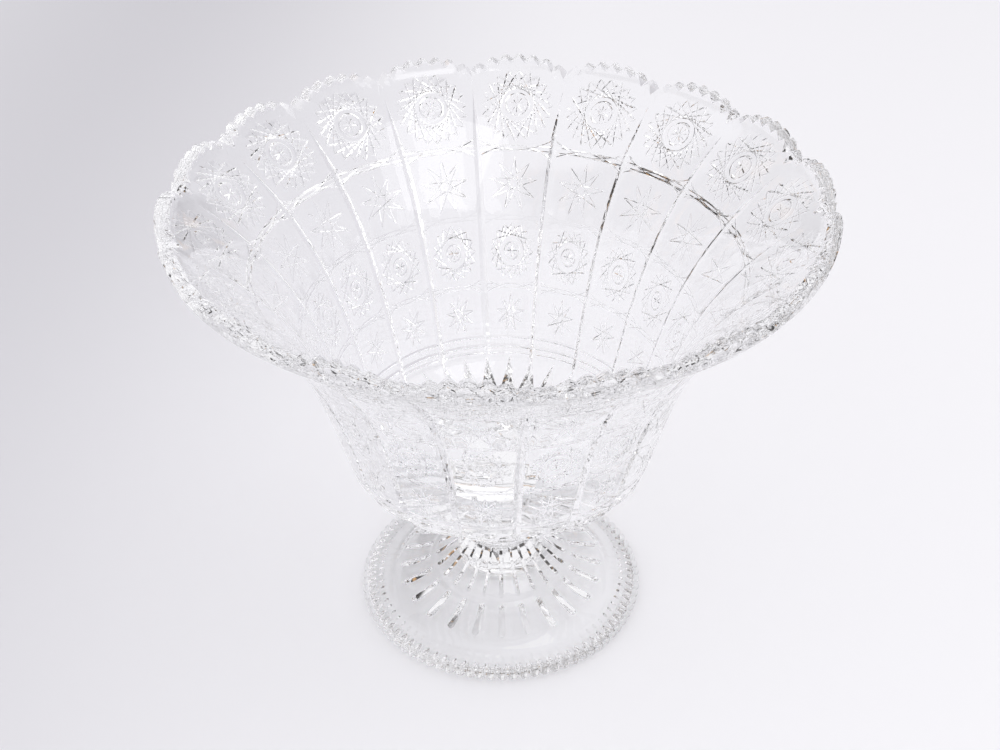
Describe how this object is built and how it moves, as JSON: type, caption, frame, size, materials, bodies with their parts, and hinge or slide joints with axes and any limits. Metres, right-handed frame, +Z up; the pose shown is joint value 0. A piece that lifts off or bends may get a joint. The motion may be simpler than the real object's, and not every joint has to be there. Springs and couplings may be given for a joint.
{
  "type": "trifle bowl",
  "caption": "Footed trifle bowl of clear cut glass: wall that flares to an upright lobed lip with sawtooth edge, mitre-cut panels, and a low domed foot with flutes and a beaded edge.",
  "frame": {"origin": "centre of the ring face that the foot rests on, at table level", "axes": "+Z up along the bowl's axis; a valley of the rim lies on +X and a lobe top on +Y"},
  "size_m": [0.2476, 0.248, 0.198],
  "materials": {
    "bowl_glass": "clear, fire-polished, cut pattern",
    "wafer_glass": "clear, fire-polished",
    "foot_glass": "clear, fire-polished, fluted and beaded"
  },
  "bodies": {
    "root": {"bowl": "bowl_glass", "joining_wafer": "wafer_glass", "foot": "foot_glass"}
  },
  "joints": []
}
